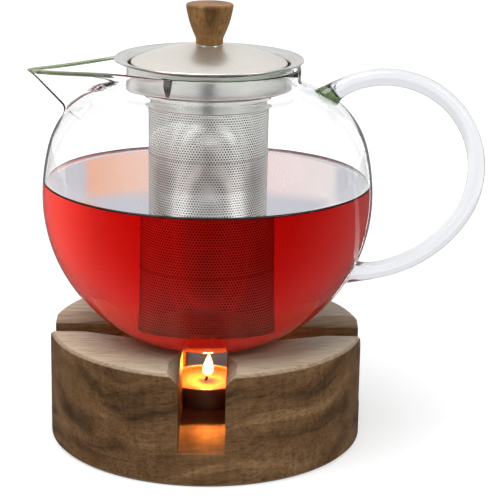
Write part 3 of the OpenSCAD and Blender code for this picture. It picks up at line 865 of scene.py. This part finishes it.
def perforated_wall(name, z_low, z_high, material, inner_material):
    """A tube wall of hexagonal cells, each with a six-sided hole, through the sheet's thickness.

    Cell centres step one pitch round the tube, and each row is shifted by half a pitch. A hole
    corner is a share of the way from the centre to the cell's corner. Corners shared by cells are
    merged by rounding their place to a whole number of sixths of a pitch.
    """
    # The sheet's real pitch, about 1 mm, is too fine to show, so the cells are a third coarser
    cells, hole_share = 132, 0.54
    outside, inside = SLEEVE_R - 0.05, SLEEVE_R - 0.45
    row_step = 2 * np.pi * SLEEVE_R / cells * math.sqrt(3) / 2
    rows = int((z_high - z_low) / row_step)
    row_step = (z_high - z_low) / rows
    j, i = np.meshgrid(np.arange(rows), np.arange(cells), indexing="ij")
    centre = np.stack([i + 0.5 * (j % 2), j + 0.5], -1).reshape(-1, 1, 2)
    corner = np.array([[0, -2 / 3], [0.5, -1 / 3], [0.5, 1 / 3], [0, 2 / 3], [-0.5, 1 / 3], [-0.5, -1 / 3]])
    hole = centre + corner * hole_share
    keys = np.rint((centre + corner) * [2, 3]).astype(np.int64)
    keys[..., 0] %= 2 * cells
    keys[..., 1] = np.clip(keys[..., 1], 0, 3 * rows)
    flat, index = np.unique(keys.reshape(-1, 2), axis=0, return_inverse=True)
    index = index.reshape(-1, 6)
    hole_index = len(flat) + np.arange(len(hole) * 6).reshape(-1, 6)
    place = np.concatenate([flat / [2, 3], hole.reshape(-1, 2)])
    count = len(place)
    angle = place[:, 0] * 2 * np.pi / cells
    height = z_low + place[:, 1] * row_step
    points = np.concatenate([
        np.stack([radius * np.cos(angle), radius * np.sin(angle), height], -1) for radius in (outside, inside)
    ])

    def edge_strip(row):
        """Quads from the outer to the inner surface along one end of the tube."""
        order = row[np.argsort(flat[row, 0])]
        after = np.roll(order, -1)
        return np.stack([order, after, after + count, order + count], -1)

    k = np.arange(6)
    n = (k + 1) % 6
    near, far = hole_index[:, k], hole_index[:, n]
    face = np.stack([index[:, k], index[:, n], far, near], -1).reshape(-1, 4)
    wall = np.stack([near, far, far + count, near + count], -1).reshape(-1, 4)
    low_edge = edge_strip(np.flatnonzero(flat[:, 1] == 0))[:, ::-1]
    high_edge = edge_strip(np.flatnonzero(flat[:, 1] == 3 * rows))
    # A quad whose corners meet at the tube's ends is kept as a triangle
    good, outer_faces = [], 0
    for f in (face, face[:, ::-1] + count, wall, low_edge, high_edge):
        a, b = f[:, 0] == f[:, 1], f[:, 2] == f[:, 3]
        same = a | b | (f[:, 1] == f[:, 2]) | (f[:, 3] == f[:, 0])
        good += [f[~same], f[a & ~b][:, [1, 2, 3]], f[b & ~a][:, [0, 1, 2]]]
        outer_faces = outer_faces or sum(len(g) for g in good)
    piece = make_piece(name, points, good, material, "infuser", 50)
    # The inner faces and the hole walls take the second material, darkened as painted shade
    second_material(piece, inner_material, outer_faces)
    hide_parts("infuser_sleeve")


def infuser_floor(material):
    """The sleeve's floor: a shallow pan with an upturned rim, and five rings of 6, 12, ... 30 holes."""
    z = SLEEVE_LOW[2]
    side = bend([(3.0, z + 0.05), (SLEEVE_R - 3.2, z + 0.05), (SLEEVE_R - 0.5, z + 2.6)], 1.6)
    under = np.concatenate([[[0, z + 0.05], [1.5, z + 0.05]], respace(side, 1.0)])
    over = np.concatenate([respace(offset_line(side, 0.5), 1.0)[::-1], [[1.5, z + 0.55], [0, z + 0.55]]])
    pan = turned_solid(np.concatenate([under, over]), 128)
    piece = make_piece("infuser_pan", *pan, material, "infuser", 40)
    ring_step, hole_r = 4.4, 0.8
    holes = []
    for ring in range(1, 6):
        for k in range(6 * ring):
            a = k * 2 * np.pi / (6 * ring)
            holes.append(circle(ring_step * ring * heading(a), hole_r, 12))
    punch(piece, [upright_rods(holes, z - 2, z + 3)])
    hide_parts("infuser_bottom")


# ---------------------------------------------------------------- the lid


def lid_dome(material):
    """A spun dome: part of a large sphere with a rolled edge, a flat crown and one steam hole."""
    sphere_r, edge_r = 88.0, DOME_HIGH[0]
    edge_z, crown_z = DOME_LOW[2] + 1.5, DOME_HIGH[2]
    centre_z = edge_z - math.sqrt(sphere_r**2 - edge_r**2)
    top = arc((0, centre_z - 0.02), sphere_r, math.acos((edge_r - 0.6) / sphere_r), math.pi / 2, 60)
    rolled = bend([(edge_r, DOME_LOW[2]), (edge_r, edge_z + 0.05), tuple(top[3])], 0.7)
    line = np.concatenate([rolled[:-1], top[3:]])
    line[-1, 0] = 0
    under = offset_line(line, SHEET_T)
    under[-1, 0] = 0
    line[:, 1] = np.minimum(line[:, 1], crown_z)
    under[:, 1] = np.minimum(under[:, 1], crown_z - SHEET_T)
    profile = np.concatenate([under[::-1], line])
    piece = make_piece("lid_shell", *turned_solid(profile, 300), material, "lid", 50)
    steam_hole = circle((25.5, 11), 1.25, 24)
    punch(piece, [upright_rods([steam_hole], crown_z - 12, crown_z + 5)])
    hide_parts("lid_dome")


def lid_knob(material):
    """The turned knob: a straight foot with a fine groove, and a side that bulges out to the top."""
    low, high = KNOB_LOW[2], KNOB_HIGH[2]
    foot_r, top_r, bulge_r = 6.6, KNOB_HIGH[0], 50.0
    foot_top = low + 3.1
    p, q = np.array([foot_r, foot_top]), np.array([top_r, high - 1.0])
    half = np.linalg.norm(q - p) / 2
    along = (q - p) / (2 * half)
    centre = (p + q) / 2 + np.array([-along[1], along[0]]) * math.sqrt(bulge_r**2 - half**2)
    start = math.atan2(*(p - centre)[::-1])
    profile = np.concatenate([
        [[0, low + 0.05], [foot_r - 0.7, low + 0.05]],
        arc((foot_r - 0.6, low + 0.55), 0.5, -math.pi / 2, 0, 5),
        [[foot_r - 0.08, low + 1.55], [foot_r - 0.3, low + 1.7], [foot_r - 0.08, low + 1.85]],
        [[foot_r - 0.05, foot_top - 0.4], [foot_r + 0.05, foot_top]],
        arc(centre, bulge_r, start + 0.012, start + 2 * math.asin(half / bulge_r), 40),
        arc((top_r - 1.0, high - 0.9), 0.88, 0.25, math.pi / 2, 8),
        [[top_r - 3, high], [0, high]],
    ])
    piece = make_piece("knob_turned", *turned_solid(profile, 160), material, "lid", 40)
    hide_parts("lid_knob")


# ---------------------------------------------------------------- the warmer and its candle


def eased_block(material):
    """The wooden block: a copy of its CAD node, doubles merged, with every edge eased by 0.5 mm."""
    piece = placed("warmer_wood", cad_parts["warmer_block"].data.copy())
    piece.modifiers.new("weld", "WELD").merge_threshold = 0.00001
    planar = piece.modifiers.new("planar", "DECIMATE")
    planar.decimate_type = "DISSOLVE"
    planar.angle_limit = math.radians(0.6)
    bevel = piece.modifiers.new("bevel", "BEVEL")
    bevel.width = 0.5 * MM
    bevel.segments = 3
    bevel.limit_method = "ANGLE"
    bevel.angle_limit = math.radians(25)
    bevel.harden_normals = False
    baked = bake_modifiers(piece)
    baked.polygons.foreach_set("use_smooth", np.ones(len(baked.polygons), bool))
    baked.set_sharp_from_angle(angle=math.radians(30))
    baked.materials.clear()
    baked.materials.append(material)
    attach(piece, "warmer")
    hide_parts("warmer_block")


def tealight_cup(material):
    """The candle's cup: a thin drawn wall with a rounded foot and a rolled rim."""
    low, high, r = CUP_LOW[2], CUP_HIGH[2], CUP_HIGH[0]
    line = respace(bend([(0, low), (r - 0.95, low), (r - 0.55, high - 0.5)], 1.6), 0.5)
    rim = arc((r - 0.5, high - 0.5), 0.5, -0.3, math.pi, 9)
    inner = offset_line(line, 0.3)[::-1]
    inner[-1, 0] = 0
    profile = np.concatenate([line, rim, inner[2:]])
    piece = make_piece("candle_cup", *turned_solid(profile, 240), material, "tealight", 50)
    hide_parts("tealight_cup")


def tealight_wax(material):
    """The wax: a shallow melted pool that climbs the wick and the cup's wall."""
    low, top, wall_r = WAX_LOW[2] + 0.05, WAX_HIGH[2], WAX_HIGH[0]
    r = np.linspace(wall_r, 0, 40)
    at_wall, at_wick = 0.5 * np.exp(-(wall_r - r) / 1.0), 0.55 * np.exp(-((r / 1.6) ** 2))
    pool = top - 0.55 + at_wall + at_wick - 0.25 * ease(r, 9.5, 8.0)
    surface = np.stack([r, np.minimum(pool, top)], -1)
    profile = np.concatenate([[[0, low], [wall_r - 2.2, low], [wall_r - 0.6, low + 1.4]], surface])
    piece = make_piece("candle_wax", *turned_solid(profile, 120), material, "tealight", 50)
    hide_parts("tealight_wax")


def tealight_wick(material):
    """A braided wick that curls over above the wax: a thin rod along a bending line.

    Its section has three lobes, 1 + 0.1 cos(3 angle + 22 u), which wind round it as u goes from 0 to 1.
    """
    base, top, wick_r, columns = WICK_LOW[2], WICK_HIGH[2], 0.66, 16
    u = np.linspace(0, 1, 40)
    curl = 1.9 * ease(u, 0.62, 1.05)
    centre = np.stack([curl, 0 * u, base + (top - base) * u * (1 - 0.02 * curl)], -1)
    lobes = 1 + 0.10 * np.cos(3 * round_angles(columns) + 22 * u[:, None])
    rows, _ = rod(centre, (wick_r - 0.2 * ease(u, 0.9, 1.0))[:, None] * lobes, columns)
    piece = rod_piece("candle_wick", rows, material, "tealight")
    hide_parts("tealight_wick")


def flame(material):
    """A leaf-shaped flame: its radius is 3.2 sin(pi u^0.62)^0.9 (1 - u / 4), and its tip leans to +X."""
    low, high = WICK_HIGH[2] - 3.4, WICK_HIGH[2] + 9.4
    u = np.linspace(0, 1, 40)
    radius = 3.2 * np.sin(np.pi * u**0.62) ** 0.9 * (1 - 0.25 * u)
    radius[0] = radius[-1] = 0
    points, faces = turned_solid(np.stack([radius, low + (high - low) * u], -1), 48)
    points[:, 0] += 0.9 + 0.5 * ease(points[:, 2], low, high)
    piece = make_piece("candle_flame", points, faces, material, "tealight")
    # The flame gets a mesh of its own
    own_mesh(piece)
    return piece


# ---------------------------------------------------------------- build the object

# The thin wall mirrors the studio weakly and the solid rod strongly. The rod's cool grey in its depth is
# painted shade, for the darker studio that the rod bends into view
clear_glass = borosilicate_glass("borosilicate glass", "#383838")
rod_glass = borosilicate_glass("borosilicate rod", "#D0D0D0", "#B8BEC8", 60.0)
rim_glass = thick_glass("borosilicate glass, fire-polished rim", "#9AA486", "#F8FAF8", 0.4, (-54, -42))
weld_glass = thick_glass("borosilicate glass, weld", "#7C9068", "#F0F4F0", 0.8, (66, 72))
steel = brushed_stainless("brushed stainless steel", "#D9D9D6")
# Painted shade: the tongues' steel is a dark grey for the dark that their tilted faces mirror
shade_darkened_steel = brushed_stainless("shade-darkened stainless steel", "#6E6E6C", 0.34)
dome_steel = brushed_stainless("satin spun stainless steel", "#DAD6CE", 0.30, 0.2, (1.4, 1.4, 1.4), 0.5, 0.86)
mesh_steel = brushed_stainless("etched stainless mesh", "#E4E3E0", 0.42, 0.2, (3.3, 3.3, 3.3))
# Painted shade: the inside of the mesh and the walls of its holes are a dark steel, for the shade inside the
# tube
shaded_name = "etched stainless mesh, shaded inside"
inner_steel = brushed_stainless(shaded_name, "#5C5854", 0.45, 0.2, (3.3, 3.3, 3.3))
block_wood = acacia(
    "oiled acacia",
    [
        (0.27, "#3C2A19"), (0.36, "#5C4329"), (0.46, "#7A5A3A"), (0.55, "#80603F"), (0.68, "#9C7A56"),
        (0.76, "#AC8A66"),
    ],
    (3, -5, 3),
    (31, 12, 53),
    # Painted light: the block's upward faces are painted paler
    painted_top_share=0.85,
)
knob_wood = acacia(
    "oiled acacia knob",
    [(0.30, "#6A4A28"), (0.45, "#8E683C"), (0.60, "#9E764A"), (0.72, "#AC8456")],
    (0, 90, 8),
    (10, 40, 20),
    (60, 9, 7),
    0.45,
)
cup_metal = drawn_aluminium()

glass_pot(clear_glass, rim_glass)
glass_handle(rod_glass, weld_glass)
tea_in_pot(red_tea(), tea_surface(), tea_edge())

infuser_collar(steel)
spring_tongues(shade_darkened_steel)
infuser_band(steel)
# The mesh is built in four lengths, each a piece of moderate size
MESH_LENGTHS = 4
mesh_ends = np.linspace(SLEEVE_LOW[2] + 0.6, BAND_LOW[2] + 2.0, MESH_LENGTHS + 1)
for i in range(MESH_LENGTHS):
    perforated_wall("infuser_mesh_%d" % (i + 1), mesh_ends[i], mesh_ends[i + 1], mesh_steel, inner_steel)
infuser_floor(mesh_steel)

lid_dome(dome_steel)
lid_knob(knob_wood)
eased_block(block_wood)
tealight_cup(cup_metal)
tealight_wax(paraffin())
tealight_wick(charred_cotton())
for node, metal in (
    ("lid_skirt", steel), ("knob_washer", steel), ("knob_screw", steel), ("wick_sustainer", cup_metal),
):
    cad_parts[node].data.materials.clear()
    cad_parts[node].data.materials.append(metal)
burning = flame(candle_flame())

# ---------------------------------------------------------------- studio

scene = bpy.context.scene
scene.view_settings.view_transform = "Standard"


def white_for_seen_rays(add):
    """1 for camera, glossy and transmission rays, 0 for the rest."""
    path = add("LightPath")
    seen = path.outputs["Is Camera Ray"]
    for other in ("Is Glossy Ray", "Is Transmission Ray"):
        seen = add("Math", {0: seen, 1: path.outputs[other]}, operation="MAXIMUM")
    return seen


def make_world():
    """White where it is seen or mirrored, and a dimmer even light on the object."""
    world = bpy.data.worlds.new("studio")
    world.use_nodes = True
    world.node_tree.nodes.clear()
    add = partial(add_node, world.node_tree)
    strength = add("MapRange", {"Value": white_for_seen_rays(add), "To Min": 0.42, "To Max": 1.0})
    light = add("Background", {"Color": "#FFFFFF", "Strength": strength})
    add("OutputWorld", {"Surface": light})
    scene.world = world


def flat_stage(name, points, material, in_sight=False):
    """One stage quad at world points in metres, with a UV map. Out of sight it is only mirrored."""
    mesh = bpy.data.meshes.new(name)
    mesh.from_pydata(points, [], [(0, 1, 2, 3)])
    mesh.uv_layers.new(name="over")
    mesh.materials.append(material)
    quad = placed(name, mesh)
    quad.visible_camera = quad.visible_shadow = quad.visible_diffuse = in_sight


def make_floor():
    """A pale floor: painted card that takes the shadow, and a white share where it is seen.

    The white share grows from the object outwards, so the floor runs out into the white world.
    """
    material, add = new_material("white painted card")
    painted = add("BsdfDiffuse", {"Color": "#B9B9B9"})
    reach = add("VectorMath", {0: pattern_place(add, (1000, 1000, 1000))}, operation="LENGTH")
    share = add("MapRange", {
        "Value": reach.outputs["Value"], "From Min": 0.15, "From Max": 0.9, "To Min": 0.55, "To Max": 0.8,
    })
    strength = add("Math", {0: white_for_seen_rays(add), 1: share}, operation="MULTIPLY")
    glow = add("Emission", {"Color": "#FFFFFF", "Strength": strength})
    add("OutputMaterial", {"Surface": add("AddShader", {0: painted, 1: glow})})
    flat_stage("floor", [(-6, -4, 0), (6, -4, 0), (6, 9, 0), (-6, 9, 0)], material, in_sight=True)


def aimed(at, towards):
    """The turn that points a lamp's or card's -Z from one place to another."""
    return (Vector(towards) - Vector(at)).to_track_quat("-Z", "Y")


def area_light(name, at, size, watts):
    """A soft white rectangular lamp at a place in metres, facing the pot."""
    data = bpy.data.lights.new(name, "AREA")
    data.shape = "RECTANGLE"
    data.size, data.size_y = size
    data.energy = watts
    data.color = linear("#FFFFFF")[:3]
    lamp = placed(name, data)
    lamp.location = at
    lamp.rotation_euler = aimed(at, (0, 0, 0.1)).to_euler()


def only_mirrored(add, shader, sign="Glossy Depth"):
    """The shader for rays that glass or steel has mirrored. Rays straight through the glass pass it.

    With the sign "Is Reflection Ray", rays that leave through glass after the mirroring pass it too.
    """
    path = add("LightPath")
    return add("MixShader", {0: path.outputs[sign], 1: add("BsdfTransparent"), 2: shader})


def paper(name, hex_colour, strength=1.0, sign="Glossy Depth"):
    """An evenly glowing studio paper that shows only in mirrored light."""
    material, add = new_material(name + " paper")
    glow = add("Emission", {"Color": hex_colour, "Strength": strength})
    add("OutputMaterial", {"Surface": only_mirrored(add, glow, sign)})
    material.cycles.emission_sampling = "NONE"
    return material


def card(name, at, towards, size, material):
    """A card out of the camera's sight, which draws a tone or a line in glass and steel."""
    half_w, half_h = size[0] / 2, size[1] / 2
    turned = aimed(at, towards).to_matrix()
    corners_at = ((-half_w, -half_h, 0), (half_w, -half_h, 0), (half_w, half_h, 0), (-half_w, half_h, 0))
    flat_stage(name, [tuple(turned @ Vector(p) + Vector(at)) for p in corners_at], material)


def back_band():
    """A grey band high behind the object with a warm window in it, which the tea's top mirrors.

    The window's upper edge is a shallow V, lowest over the middle, and its edges are soft.
    """
    material, add = new_material("grey backdrop band")
    place = place_in(add)
    across, height = place["X"], place["Z"]
    middle = add("Math", {0: across, 1: -0.06}, operation="SUBTRACT")
    aside = add("Math", {0: middle}, operation="ABSOLUTE")
    edge = add("Math", {0: aside, 1: 0.08, 2: 0.880}, operation="MULTIPLY_ADD")
    over = add("Math", {0: height, 1: edge}, operation="SUBTRACT")
    beside = add("Math", {0: aside, 1: 0.36}, operation="SUBTRACT")
    out = add("Math", {0: over, 1: beside, 2: 0.04}, operation="SMOOTH_MAX")
    share = add("MapRange", {"Value": out, "From Min": -0.015, "From Max": 0.02})
    along = add("MapRange", {"Value": across, "From Min": -0.4, "From Max": 0.3})
    pinks = [(0.0, "#FFC8AC"), (0.22, "#FFD8C6"), (0.55, "#FCE4E2"), (1.0, "#FFFAF8")]
    warm = add("ValToRGB", {0: along}, pinks)
    tone = add("Mix", {0: share, 6: warm, 7: "#D8DAE2"}, data_type="RGBA")
    glow = add("Emission", {"Color": tone.outputs[2], "Strength": 1.0})
    add("OutputMaterial", {"Surface": only_mirrored(add, glow)})
    low, high = 0.72, 1.12
    flat_stage("back_band", [(-1.6, 3, low), (1.6, 3, low), (1.6, 3, high), (-1.6, 3, high)], material)


make_world()
make_floor()
area_light("overhead", (-0.25, -0.30, 1.4), (0.9, 0.9), 15)
area_light("left_window", (-1.0, -0.7, 0.9), (0.7, 1.0), 5)
area_light("right_window", (1.1, -0.6, 0.8), (0.6, 1.0), 5.5)

POT_MIDDLE = (0, 0, 0.15)
side_paper, line_paper = paper("side", "#8C8C8C"), paper("line", "#7C8084")
streak_paper = paper("streak", "#FFFFFF", 5.0)
card("front_card", (0.0, -1.6, 0.5), POT_MIDDLE, (3.0, 2.4), paper("front", "#A4A4A4"))
card("front_slit", (0.0, -0.5, 0.07), (0, 0, 0.2), (0.15, 0.3), paper("slit", "#141414"))
floor_paper = paper("mirrored floor", "#666666", 1.0, "Is Reflection Ray")
card("mirrored_floor", (0.0, 0.0, 0.0015), (0, 0, -1.0), (3.0, 3.0), floor_paper)
for side, x in (("left", -1), ("right", 1)):
    card(side + "_side_card", (1.4 * x, -0.1, 0.5), POT_MIDDLE, (1.6, 1.8), side_paper)
    card(side + "_line_card", (0.15 * x, 0.28, 0.07), (0.08 * x, 0, 0.1), (0.10, 0.16), line_paper)
card("streak_card", (0.22, 0.30, 0.10), (0.08, 0, 0.12), (0.006, 0.26), streak_paper)
streak_spots = [(0.077, 0.096, 0.003), (0.082, 0.093, 0.003), (0.222, 0.297, 0.003), (0.217, 0.300, 0.003)]
flat_stage("streak_floor", streak_spots, streak_paper)
back_band()

candle_light = bpy.data.lights.new("candle", "POINT")
candle_light.energy = 0.62
candle_light.color = linear("#FF8A30")[:3]
candle_light.shadow_soft_size = 0.0025
candle = placed("candle", candle_light)
candle.location = (0.001, 0, 0.0345)
candle.parent = burning
# The flame is seen by its own piece, so its lamp is left out behind glass
candle.visible_transmission = False

# ---------------------------------------------------------------- camera

camera_data = bpy.data.cameras.new("camera")
camera_data.sensor_width = 36
camera_data.lens = 127.6
camera = placed("camera", camera_data)
camera.location = (0.0210, -0.8375, 0.3315)
pitch = math.radians(90 - 15.88)
roll = math.radians(1.0)
camera.rotation_euler = (Matrix.Rotation(pitch, 3, "X") @ Matrix.Rotation(roll, 3, "Z")).to_euler()
scene.camera = camera
